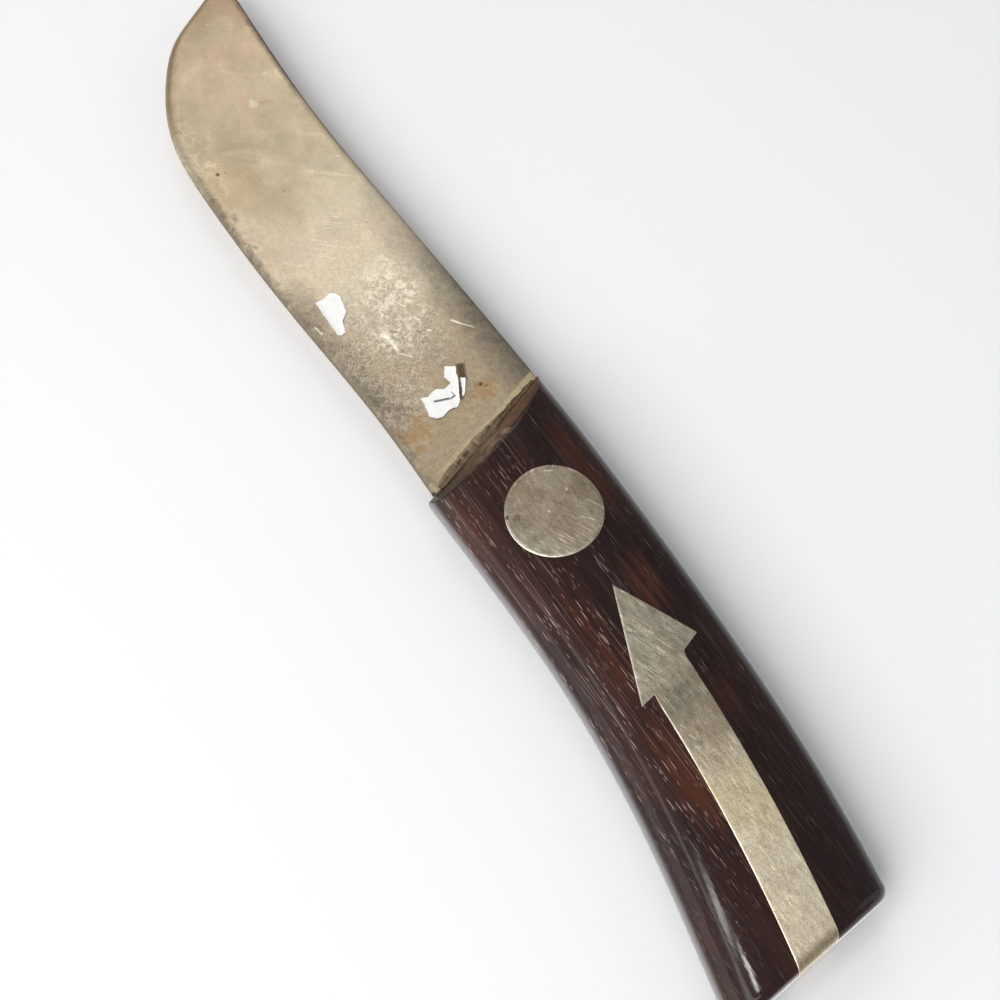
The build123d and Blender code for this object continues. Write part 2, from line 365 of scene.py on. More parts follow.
def on_skin(unrolled, lift):
    """Points lifted off the skin at plan places, which roll over and down past the butt's edge."""
    x, y = unrolled[:, 0], unrolled[:, 1]
    rim = butt_x(y) + BUTT_ROUND
    past = np.maximum(rim - x, 0)
    phi = np.minimum(past / BUTT_ROUND, math.pi / 2)
    below = np.maximum(past - BUTT_ROUND * math.pi / 2, 0)
    flat_x = np.maximum(x, rim)
    around = around_at(flat_x, y)
    base = skin(flat_x, around)
    normal = skin_normal(flat_x, around)
    out = normal * np.cos(phi)[:, None] - np.outer(np.sin(phi), [1, 0, 0])
    centre = base - normal * BUTT_ROUND
    p = centre + out * (BUTT_ROUND + np.asarray(lift))[:, None]
    p[:, 2] -= below
    return p


def inset(loop, amount):
    """A closed loop moved inwards by an amount."""
    before = loop - np.roll(loop, 1, axis=0)
    after = np.roll(loop, -1, axis=0) - loop
    before /= np.linalg.norm(before, axis=1, keepdims=True)
    after /= np.linalg.norm(after, axis=1, keepdims=True)
    n1 = np.stack([-before[:, 1], before[:, 0]], axis=1)
    n2 = np.stack([-after[:, 1], after[:, 0]], axis=1)
    mitre = n1 + n2
    mitre /= np.maximum((mitre * n1).sum(1, keepdims=True), 0.2)
    return loop + mitre * amount


def resample(loop, step):
    """The loop with points added along its longer sides."""
    out = []
    for a, b in zip(loop, np.roll(loop, -1, axis=0)):
        n = max(1, int(math.ceil(np.linalg.norm(b - a) / step)))
        out += [a + (b - a) * k / n for k in range(n)]
    return np.array(out)


def filled(points, rim_count):
    """Triangles over flat points, of which the first few are the closed rim."""
    rim = [(i, (i + 1) % rim_count) for i in range(rim_count)]
    verts, _, tris, _, _, _ = delaunay_2d_cdt([Vector(p) for p in points], rim, [], 1, 1e-6)
    return np.array([tuple(v) for v in verts]), tris


def plate(name, node, loop, front):
    """A plate let into the skin: a filled top with rounded edges, upright sides and a flat underside."""
    area = 0.5 * np.sum(loop[:, 0] * np.roll(loop[:, 1], -1) - loop[:, 1] * np.roll(loop[:, 0], -1))
    loop = resample(loop if area > 0 else loop[::-1], INLAY_STEP)
    inner = inset(loop, INLAY_EDGE)
    lo, hi = inner.min(0), inner.max(0)
    xs, ys = (np.arange(lo[k], hi[k], INLAY_STEP) for k in (0, 1))
    gx, gy = np.meshgrid(xs, ys)
    gx = gx + (np.arange(gx.shape[0]) % 2)[:, None] * INLAY_STEP / 2
    fill = np.stack([gx.ravel(), gy.ravel()], axis=1)
    fill = fill[inside(fill, inset(loop, INLAY_EDGE + INLAY_STEP * 0.45))]
    flat = np.concatenate([inner, fill])
    n = len(inner)
    verts, tris = filled(flat, n)
    top = on_skin(verts, np.full(len(verts), INLAY_PROUD))
    points = [top]
    faces = [tuple(t) for t in tris]
    rings = [list(range(n))]
    count = len(verts)
    for angle in np.radians([22, 45, 67, 90]):
        ring = inset(loop, INLAY_EDGE * (1 - math.sin(angle)))
        lift = INLAY_PROUD - INLAY_EDGE * (1 - math.cos(angle))
        points.append(on_skin(ring, np.full(len(ring), lift)))
        rings.append(list(range(count, count + n)))
        count += n
    points.append(on_skin(loop, np.full(n, -INLAY_DEPTH)))
    rings.append(list(range(count, count + n)))
    count += n
    for a, b in zip(rings, rings[1:]):
        faces += [(a[i], a[(i + 1) % n], b[(i + 1) % n], b[i]) for i in range(n)]
    # The underside repeats the top's triangles a plate's depth lower, inside the same loop.
    under = on_skin(verts, np.full(len(verts), -INLAY_DEPTH))
    under[:n] = points[-1]
    points.append(under)
    faces += [tuple(count + i for i in t) for t in tris]
    points = np.concatenate(points)
    if not front:
        points = points * [1, 1, -1]
    obj = make(name, points, faces, "inlay_metal", smooth_angle=50)
    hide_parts(node)
    return obj


def inside(points, loop):
    """Which points lie inside a closed loop."""
    hit = np.zeros(len(points), bool)
    for a, b in zip(loop, np.roll(loop, -1, axis=0)):
        crosses = (a[1] > points[:, 1]) != (b[1] > points[:, 1])
        at = a[0] + (points[:, 1] - a[1]) * (b[0] - a[0]) / (b[1] - a[1] + 1e-12)
        hit ^= crosses & (points[:, 0] < at)
    return hit


def arrow_loop():
    """The arrow's outline: a curved shaft of one width, and the head with its uneven barbs."""
    (x0, y0), (x1, y1), (x2, y2) = SHAFT_LINE
    # Circle through the shaft's three points.
    d = 2 * (x0 * (y1 - y2) + x1 * (y2 - y0) + x2 * (y0 - y1))
    s0, s1, s2 = x0 * x0 + y0 * y0, x1 * x1 + y1 * y1, x2 * x2 + y2 * y2
    centre = np.array([(s0 * (y1 - y2) + s1 * (y2 - y0) + s2 * (y0 - y1)) / d,
                       (s0 * (x2 - x1) + s1 * (x0 - x2) + s2 * (x1 - x0)) / d])
    radius = np.linalg.norm(np.array([x0, y0]) - centre)
    side = np.sign(centre[1] - y1)
    xs = np.linspace(-50.0, -104.5, 62)
    mid = centre[1] - side * np.sqrt(radius ** 2 - (xs - centre[0]) ** 2)
    tangent = np.arctan(np.gradient(mid, xs))
    middle = np.stack([xs, mid], axis=1)
    aside = np.stack([np.sin(tangent) * SHAFT_WIDTH / 2, -np.cos(tangent) * SHAFT_WIDTH / 2], axis=1)
    # Unrolled, both edges end where the lip does, a little below the butt's rounding.
    past_rim = BUTT_ROUND * math.pi / 2 + HANDLE_HALF - BUTT_ROUND - LIP_LOW
    edges = []
    for edge in (middle + aside, middle - aside):
        edge = edge[edge[:, 0] > butt_x(edge[:, 1]) + BUTT_ROUND - past_rim]
        last_y = edge[-1, 1]
        edges.append(np.append(edge, [[butt_x(last_y) + BUTT_ROUND - past_rim, last_y]], axis=0))
    spine_edge, belly_edge = edges
    spine_edge = spine_edge[spine_edge[:, 0] < NOTCH_SPINE[0] - 0.3]
    belly_edge = belly_edge[belly_edge[:, 0] < NOTCH_BELLY[0] - 0.7]
    head = [ARROW_TIP, BARB_SPINE, NOTCH_SPINE]
    return np.concatenate([head, spine_edge, belly_edge[::-1], [NOTCH_BELLY, BARB_BELLY]])


disc_low, disc_high = (np.array(c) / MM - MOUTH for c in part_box("front_disc"))
disc_centre = (disc_low + disc_high)[:2] / 2
disc_radius = (disc_high - disc_low)[0] / 2


def disc_loop():
    a = np.linspace(0, 2 * math.pi, 181)[:-1]
    return disc_centre + disc_radius * np.stack([np.cos(a), np.sin(a)], axis=1)


# ------------------------------ cement and paper
def at_mouth(along, out, height):
    """Places near the mouth line: along it towards the belly, out over the blade, and up."""
    along, out, height = np.broadcast_arrays(along, out, height)
    x = out * mouth_out[0] - along * mouth_out[1]
    y = along * mouth_out[0] + out * mouth_out[1]
    return np.stack([x, y, height], axis=-1)


def wander(values, size, seed):
    """Smooth wandering numbers, about -1 to 1, for places a given size apart."""
    knots = np.random.default_rng(seed).uniform(-1, 1, 400)
    place = (np.asarray(values) + 60) / size
    low = np.floor(place).astype(int) % 399
    t = place - np.floor(place)
    t = t * t * (3 - 2 * t)
    return knots[low] * (1 - t) + knots[low + 1] * t


def cement_bead(name, node, front):
    """A lumpy bead that fills the angle between the blade and the bevel, chipped here and there."""
    along = np.linspace(-13.1, 12.5, BEAD_COLUMNS)
    place, reach = zip(*CEMENT_REACH)
    out = np.interp(along, place, reach)
    out = out + 0.12 * wander(along, 1.4, 1) + 0.07 * wander(along, 0.45, 2)
    seed = 3 if front else 13
    rows = []
    for k in range(BEAD_ROWS):
        t = k / (BEAD_ROWS - 1)
        height = 0.5 * (1 - t) ** 0.8 * np.minimum(out, 1.1) + 0.04
        ragged = 0.16 * wander(along + 7 * t, 0.7, seed) + 0.1 * wander(along - 5 * t, 0.3, seed + 1)
        height = height + ragged * math.sin(math.pi * min(t * 1.15, 1)) ** 0.7
        for centre, length, depth in CEMENT_CHIPS:
            near = np.clip(1 - ((along - centre) / length) ** 2, 0, 1)
            height = height - depth * near * math.exp(-((t - 0.45) / 0.28) ** 2)
        height = np.maximum(height, 0.015)
        if k == BEAD_ROWS - 1:
            height = np.zeros_like(along) - 0.02
        back = -(height / bevel_tan) - 0.05
        rows.append(at_mouth(along, back * (1 - t) + out * t, BLADE_HALF + height))
    rows.append(at_mouth(along, -0.25, BLADE_HALF - 0.02))
    points = np.array(rows)
    count, columns = points.shape[:2]
    # Rings run round the bead, so its two ends close as caps.
    points = np.swapaxes(points, 0, 1)
    faces = grid_faces(columns, count, wrap=True)
    faces += [tuple(range(count)), tuple((columns - 1) * count + i for i in range(count))]
    points = points.reshape(-1, 3)
    if not front:
        points = points * [1, 1, -1]
    obj = make(name, points, faces, "cement", smooth_angle=60)
    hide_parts(node)
    return obj


def paper(loop, lift, seed, curl):
    """One torn scrap: a thin sheet with a ragged outline, its rim lifting a little off the blade."""
    loop = resample(np.array(loop, float), 0.16)
    n = len(loop)
    ragged = 0.06 * wander(np.arange(n), 2.5, seed) + 0.04 * wander(np.arange(n), 1.1, seed + 1)
    loop = inset(loop, ragged[:, None])
    lo, hi = loop.min(0), loop.max(0)
    xs, ys = (np.arange(lo[k], hi[k], PAPER_STEP) for k in (0, 1))
    gx, gy = np.meshgrid(xs, ys)
    fill = np.stack([gx.ravel(), gy.ravel()], axis=1)
    fill = fill[inside(fill, inset(loop, 0.1))]
    verts, tris = filled(np.concatenate([loop, fill]), n)
    rim = np.min(np.linalg.norm(verts[:, None] - loop[None], axis=2), axis=1)
    wave = 0.05 * wander(verts[:, 0], 1.7, seed + 2) + 0.05 * wander(verts[:, 1], 1.3, seed + 3)
    z = blade_half_at(verts[:, 0]) + lift + wave + curl * np.exp(-rim / 0.5)
    z = np.maximum(z, blade_half_at(verts[:, 0]) + 0.01)
    count = len(verts)
    points = np.concatenate([np.column_stack([verts, z + 0.09]), np.column_stack([verts, z])])
    faces = [tuple(t) for t in tris] + [tuple(count + i for i in t) for t in tris]
    faces += [(i, (i + 1) % n, count + (i + 1) % n, count + i) for i in range(n)]
    return points, faces


def scrap(name, node, sheets):
    """A label scrap of one or more torn sheets."""
    points, faces = [], []
    for sheet_points, sheet_faces in sheets:
        start = sum(len(p) for p in points)
        points.append(sheet_points)
        faces += [tuple(start + i for i in f) for f in sheet_faces]
    obj = make(name, np.concatenate(points), faces, "label_paper", smooth_angle=40)
    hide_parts(node)
    return obj


pieces = {}
for side, front in (("front", True), ("back", False)):
    pieces[f"{side}_wood"] = handle_half(f"{side}_scale_skin", f"{side}_scale", front)
    pieces[f"{side}_disc"] = plate(f"{side}_disc_plate", f"{side}_disc", disc_loop(), front)
    pieces[f"{side}_arrow"] = plate(f"{side}_arrow_plate", f"{side}_arrow", arrow_loop(), front)
    pieces[f"{side}_cement"] = cement_bead(f"{side}_cement_bead", f"{side}_mouth_cement", front)
pieces["blade"] = make_blade()
pieces["upper_scrap"] = scrap("label_scrap_upper_sheet", "label_scrap_upper",
                              [paper(UPPER_SCRAP, 0.06, 21, 0.08)])
pieces["lower_scrap"] = scrap("label_scrap_lower_sheet", "label_scrap_lower",
                              [paper(LOWER_SCRAP, 0.06, 31, 0.1), paper(LOWER_SLIVER, 0.16, 41, 0.25)])


# ------------------------------ shader helpers
class Shader:
    """A material under construction. Its place vector is in mm from the mouth, as the plan is."""

    def __init__(self, name):
        self.mat = bpy.data.materials.new(name)
        self.mat.use_nodes = True
        self.tree = self.mat.node_tree
        self.bsdf = self.tree.nodes["Principled BSDF"]
        coords = self.add("TexCoord").outputs["Object"]
        self.place = self.vector("MULTIPLY_ADD", coords, (1 / MM,) * 3, tuple(-MOUTH))
        parts = self.add("SeparateXYZ", {0: self.place})
        self.x, self.y, self.z = parts.outputs

    def add(self, kind, inputs=None, **settings):
        node = self.tree.nodes.new("ShaderNode" + kind)
        for key, value in settings.items():
            setattr(node, key, value)
        for key, value in (inputs or {}).items():
            self.feed(node.inputs[key], value)
        return node

    def feed(self, socket, value):
        if isinstance(value, bpy.types.NodeSocket):
            self.tree.links.new(value, socket)
        elif socket.type == "RGBA" and len(value) == 3:
            socket.default_value = (*value, 1)
        else:
            socket.default_value = value

    def set(self, **values):
        for key, value in values.items():
            self.feed(self.bsdf.inputs[key.replace("_", " ")], value)

    def math(self, operation, a, b=0.0, c=0.0):
        return self.add("Math", {0: a, 1: b, 2: c}, operation=operation).outputs[0]

    def times(self, a, b):
        return self.math("MULTIPLY", a, b)

    def times_add(self, a, b, c):
        return self.math("MULTIPLY_ADD", a, b, c)

    def minus(self, a, b):
        return self.math("SUBTRACT", a, b)

    def most(self, a, b):
        return self.math("MAXIMUM", a, b)

    def vector(self, operation, a, b=(0, 0, 0), c=(0, 0, 0)):
        node = self.add("VectorMath", {0: a, 1: b}, operation=operation)
        if operation == "MULTIPLY_ADD":
            self.feed(node.inputs[2], c)
        return node.outputs[1 if operation in ("LENGTH", "DISTANCE", "DOT_PRODUCT") else 0]

    def dot(self, a, b):
        return self.vector("DOT_PRODUCT", a, b)

    def band(self, value, low, high, smooth=True):
        """0 where value is at low, 1 where it is at high."""
        node = self.add("MapRange", {"Value": value, "From Min": low, "From Max": high})
        node.interpolation_type = "SMOOTHSTEP" if smooth else "LINEAR"
        return node.outputs[0]

    def turned(self, degrees, stretch=(1, 1, 1), shift=(0, 0, 0)):
        """The place vector turned about Z, so that its x runs at that angle, then scaled."""
        rotation = (0, 0, -math.radians(degrees))
        node = self.add("Mapping", {"Vector": self.place, "Rotation": rotation})
        values = {"Vector": node.outputs[0], "Location": shift, "Scale": stretch}
        return self.add("Mapping", values).outputs[0]

    def noise(self, vector, scale=1.0, detail=3.0, rough=0.5, distortion=0.0):
        values = {"Vector": vector, "Scale": scale, "Detail": detail, "Roughness": rough,
                  "Distortion": distortion}
        return self.add("TexNoise", values).outputs["Fac"]

    def cells(self, vector):
        """Distance to the nearest of the scattered points, about one to each unit of the vector."""
        return self.add("TexVoronoi", {"Vector": vector, "Scale": 1.0}).outputs["Distance"]

    def mix(self, factor, a, b, blend="MIX"):
        node = self.add("Mix", data_type="RGBA", blend_type=blend)
        self.feed(node.inputs["Factor"], factor)
        self.feed(node.inputs[6], a)
        self.feed(node.inputs[7], b)
        return node.outputs[2]

    def tint(self, color, mask, share, paint):
        """The colour with a share of another one wherever the mask is 1."""
        return self.mix(self.times(mask, share), color, paint)

    def blob(self, x, y, radius, ragged=0.35, grain=0.6):
        """1 inside a ragged patch round a plan place, fading to 0 over its edge."""
        away = self.vector("DISTANCE", self.vector("MULTIPLY", self.place, (1, 1, 0)), (x, y, 0))
        rough = self.noise(self.place, grain, 3, 0.6)
        edge = self.times_add(self.minus(rough, 0.5), radius * ragged * 6, away)
        return self.band(edge, radius, radius * 0.35)

    def stroke(self, x0, y0, x1, y1, width):
        """1 on a short straight mark between two plan places."""
        length, turn = math.hypot(x1 - x0, y1 - y0), math.atan2(y1 - y0, x1 - x0)
        offset = self.vector("SUBTRACT", self.place, ((x0 + x1) / 2, (y0 + y1) / 2, 0))
        along = self.math("ABSOLUTE", self.dot(offset, (math.cos(turn), math.sin(turn), 0)))
        across = self.dot(offset, (-math.sin(turn), math.cos(turn), 0))
        across = self.band(self.math("ABSOLUTE", across), width, width * 0.3)
        return self.times(self.band(along, length / 2, length * 0.35), across)

    def scratches(self, degrees, length, width, amount, seed=0.0):
        """Thin lines of light at one angle: 0 to 1, with a share of them showing."""
        drawn = self.turned(degrees, (1 / length, 1 / width, 1 / width), (seed, seed, 0))
        fine = self.noise(drawn, 1, 2, 0.6)
        return self.band(fine, 0.72 - amount * 0.2, 0.8 - amount * 0.15)

    def bump(self, height):
        """A normal from a height in mm."""
        return self.add("Bump", {"Height": height, "Distance": MM, "Strength": 1.0}).outputs[0]


# ------------------------------ tarnished metal
def mottled(m, color, fine, coarse, amount):
    """The colour with its light and dark grain."""
    grain = m.times_add(m.minus(coarse, 0.5), 0.8, m.minus(fine, 0.5))
    shade = m.times_add(grain, amount, 1.0)
    grey = m.add("CombineXYZ", {0: shade, 1: shade, 2: shade}).outputs[0]
    return m.mix(1.0, color, grey, "MULTIPLY")


def outline_height(m, points, low, high):
    """The y of an outline, given by its points, at each x."""
    first, last = points[0][0], points[-1][0]
    node = m.add("FloatCurve", {"Value": m.band(m.x, first, last, smooth=False)})
    curve = node.mapping.curves[0]
    curve.points[0].location = (0, (points[0][1] - low) / (high - low))
    curve.points[-1].location = (1, (points[-1][1] - low) / (high - low))
    for x, y in points[1:-1]:
        curve.points.new((x - first) / (last - first), (y - low) / (high - low))
    node.mapping.update()
    return m.times_add(node.outputs[0], high - low, low)


def tarnished_blade():
    m = Shader("tarnished_blade")
    large = m.noise(m.place, 0.05, 3, 0.5, 0.4)
    medium = m.noise(m.place, 0.17, 5, 0.55, 0.7)
    fine = m.noise(m.place, 3.2, 4, 0.65)
    coarse = m.noise(m.place, 1.0, 4, 0.65, 0.4)
    rosy, sandy, grey = (0.615, 0.465, 0.315), (0.60, 0.495, 0.335), (0.48, 0.41, 0.29)
    color = m.mix(m.band(large, 0.40, 0.60), rosy, sandy)
    color = m.tint(color, m.band(medium, 0.48, 0.66), 0.38, grey)
    color = m.tint(color, m.band(medium, 0.46, 0.30), 0.35, (0.76, 0.62, 0.42))
    # Painted reflection: brighter in the middle of the blade, duller by the mouth.
    color = m.tint(color, m.band(m.x, 34, 6), 0.42, (0.33, 0.26, 0.165))
    painted_sheen = m.most(m.blob(43, 0, 25, 0.12, 0.12), m.blob(34, 0.5, 8, 0.25, 0.3))
    color = m.tint(color, painted_sheen, 0.52, (0.90, 0.79, 0.60))
    olive = m.most(m.blob(76, 10, 11, 0.2, 0.2), m.blob(59, 5, 10, 0.2, 0.2))
    color = m.tint(color, olive, 0.26, (0.44, 0.38, 0.22))
    # The rubbed patch between the scraps, with its worm-like lines.
    patch = m.most(m.blob(26, 4, 13.5, 0.25, 0.3), m.blob(14, 10, 7, 0.35, 0.35))
    color = m.tint(color, patch, 0.5, (0.42, 0.345, 0.25))
    worms = m.noise(m.place, 0.42, 3, 0.6, 1.5)
    other = m.noise(m.turned(40, (1, 1, 1), (9, 4, 2)), 0.6, 3, 0.6, 1.3)
    light = m.band(m.math("ABSOLUTE", m.minus(worms, 0.5)), 0.05, 0.008)
    light = m.most(light, m.band(m.math("ABSOLUTE", m.minus(other, 0.52)), 0.045, 0.006))
    dark = m.band(m.math("ABSOLUTE", m.minus(worms, 0.42)), 0.035, 0.005)
    lines = m.times(light, patch)
    color = m.tint(color, m.times(dark, patch), 0.35, (0.22, 0.175, 0.12))
    color = m.tint(color, lines, 0.6, (0.86, 0.76, 0.58))
    cream = m.band(m.noise(m.place, 0.75, 4, 0.65, 0.9), 0.44, 0.58)
    cream = m.times(m.most(m.blob(33, 0.5, 9, 0.25, 0.3), m.blob(25, 4, 5, 0.3, 0.4)), cream)
    color = m.tint(color, cream, 0.9, (1.0, 0.90, 0.70))
    # Distances from the spine and from the cutting edge.
    from_spine = m.minus(m.y, outline_height(m, SPINE, -14, -6))
    to_edge = m.minus(outline_height(m, BELLY[:-2], 0, 20), m.y)
    uneven = m.minus(m.noise(m.place, 0.45, 4, 0.62, 0.6), 0.5)
    # Painted shade along the rounded spine, widest by the mouth, with a thin painted dark line at its edge;
    # a violet tint on the spine near the tip.
    rough_spine = m.times_add(uneven, 5.0, from_spine)
    shadow = m.times(m.band(rough_spine, 8.0, -1.0), m.band(m.x, 66, 22))
    color = m.tint(color, shadow, 0.95, (0.15, 0.13, 0.105))
    thin_spine_shade = m.times(m.band(from_spine, 1.6, 0.1), m.band(m.x, 30, 66))
    color = m.tint(color, thin_spine_shade, 0.55, (0.15, 0.095, 0.075))
    violet = m.times(m.band(m.times_add(uneven, 2.0, from_spine), 1.2, 0.2), m.band(m.x, 74, 84))
    color = m.tint(color, violet, 0.6, (0.085, 0.06, 0.08))
    # Along the cutting edge: blotchy stains with pale tide marks, a brown band inside, a brown tip.
    blotch = m.minus(m.noise(m.place, 0.30, 3, 0.5, 1.2), 0.5)
    tide = m.times_add(blotch, 13.0, to_edge)
    along = m.times(m.band(m.x, 90, 80), m.band(m.x, 34, 44))
    halo = m.times(m.times(m.band(tide, 3.4, 2.0), m.band(tide, 0.2, 1.3)), along)
    color = m.tint(color, halo, 0.3, (0.88, 0.78, 0.56))
    stain = m.times(m.band(tide, 1.1, -0.5), along)
    curls = m.band(m.math("ABSOLUTE", m.minus(worms, 0.47)), 0.05, 0.01)
    color = m.tint(color, stain, 0.62, (0.29, 0.25, 0.175))
    color = m.tint(color, m.times(stain, curls), 0.7, (0.84, 0.75, 0.56))
    band = m.times(m.band(m.times_add(uneven, 7.0, to_edge), 6.0, 2.4), m.band(to_edge, -0.4, 0.5))
    band = m.times(band, m.times(m.band(m.x, 46, 36), m.band(m.x, 4, 13)))
    color = m.tint(color, band, 0.55, (0.205, 0.165, 0.125))
    color = m.tint(color, m.times(band, light), 0.5, (0.72, 0.64, 0.50))
    tip = m.times(m.band(m.times_add(uneven, 3.0, to_edge), 3.6, 0.0), m.band(m.x, 76, 90))
    tip = m.most(tip, m.times(m.band(m.x, 92, 108), 0.95))
    color = m.tint(color, tip, 0.7, (0.33, 0.215, 0.115))
    # Rust tints, by the mouth and by the edge.
    warm = m.most(m.blob(6.4, 10, 3.8, 0.5, 0.5), m.blob(7.5, -4.5, 3.2, 0.45, 0.5))
    warm = m.most(warm, m.times(m.blob(66, 14, 9.0, 0.1, 0.3), 0.4))
    color = m.tint(color, warm, 0.55, (0.47, 0.27, 0.10))
    speck = m.band(m.noise(m.place, 1.4, 4, 0.72), 0.66, 0.72)
    color = m.tint(color, speck, 0.45, (0.26, 0.17, 0.09))
    for x, y, radius in BLADE_SPECKS:
        color = m.tint(color, m.blob(x, y, radius, 0.12, 2.0), 0.9, (0.13, 0.065, 0.03))
    # Scratches: a field of long ones, and single marks.
    field = m.most(m.blob(46, 5, 9, 0.35, 0.2), m.times(m.blob(60, -2, 7, 0.3, 0.2), 0.6))
    hair = m.band(m.noise(m.turned(50.7, (1 / 9, 3.6, 3.6)), 1, 2, 0.6), 0.56, 0.68)
    hair = m.times(hair, m.most(m.times(field, 0.6), 0.06))
    crossed = m.times(m.scratches(20, 9.0, 0.14, 0.4, 4.0), 0.16)
    marks = m.most(hair, crossed)
    for stroke in BLADE_MARKS:
        marks = m.most(marks, m.stroke(*stroke))
    dull_edge = m.times(m.band(m.times_add(uneven, 3.0, to_edge), 1.9, 0.2), m.band(m.x, 84, 60))
    color = m.tint(color, dull_edge, 0.8, (0.17, 0.14, 0.10))
    color = m.tint(color, marks, 0.85, (0.97, 0.89, 0.72))
    soft_marks = m.most(m.stroke(86.0, -1.6, 84.4, -6.8, 1.0), m.stroke(101.4, 1.6, 100.0, -3.2, 0.5))
    soft_marks = m.times(soft_marks, m.band(coarse, 0.38, 0.66))
    color = m.tint(color, soft_marks, 0.2, (0.95, 0.87, 0.70))
    color = m.tint(color, m.blob(80.8, 1.6, 1.3, 0.4, 0.8), 0.4, (0.96, 0.88, 0.72))
    color = m.tint(color, m.stroke(80.4, 0.8, 79.2, -1.8, 0.3), 0.3, (0.42, 0.26, 0.17))
    # A dark brown mark beside the lower scrap, along its lifted sliver.
    dark_smear = m.most(m.stroke(14.5, -3.3, 11.0, -2.0, 1.15), m.stroke(11.6, -1.9, 7.8, 0.3, 0.6))
    color = m.tint(color, dark_smear, 0.85, (0.095, 0.062, 0.035))
    # The pale strip beyond the cement.
    ahead = m.dot(m.place, (*mouth_out, 0))
    sideways = m.dot(m.place, (-mouth_out[1], mouth_out[0], 0))
    reach = m.times_add(m.band(sideways, -3.0, 1.6), 0.6, 0.8)
    beyond = m.times_add(uneven, 0.8, m.minus(ahead, reach))
    strip = m.band(beyond, 0.95, 0.55)
    color = m.mix(m.times(strip, m.times_add(m.band(m.y, 12, 9), 0.6, 0.1)), color, (0.62, 0.51, 0.31))
    # Painted shade in the corner where the blade meets the handle on the belly side.
    color = m.tint(color, m.blob(-4.7, 13.2, 0.7, 0.15, 1.5), 0.9, (0.02, 0.014, 0.01))
    color = mottled(m, color, fine, coarse, m.times_add(m.band(m.x, 60, 30), 0.5, 0.35))
    # Stains, the edge band and the dark mark, together with the painted spine shade, make the metal
    # rougher.
    tarnish_and_shade = m.most(m.most(shadow, band), m.most(stain, dark_smear))
    rough = m.times_add(medium, 0.2, 0.34)
    rough = m.times_add(m.most(tarnish_and_shade, dull_edge), 0.16, rough)
    m.set(Base_Color=color, Metallic=0.8, Roughness=m.times_add(marks, -0.1, rough), Specular_IOR_Level=0.5)
    height = m.times_add(fine, 0.012, m.times(medium, 0.06))
    height = m.times_add(coarse, 0.02, height)
    height = m.times_add(m.most(marks, lines), 0.012, height)
    m.set(Normal=m.bump(height))
    return m.mat


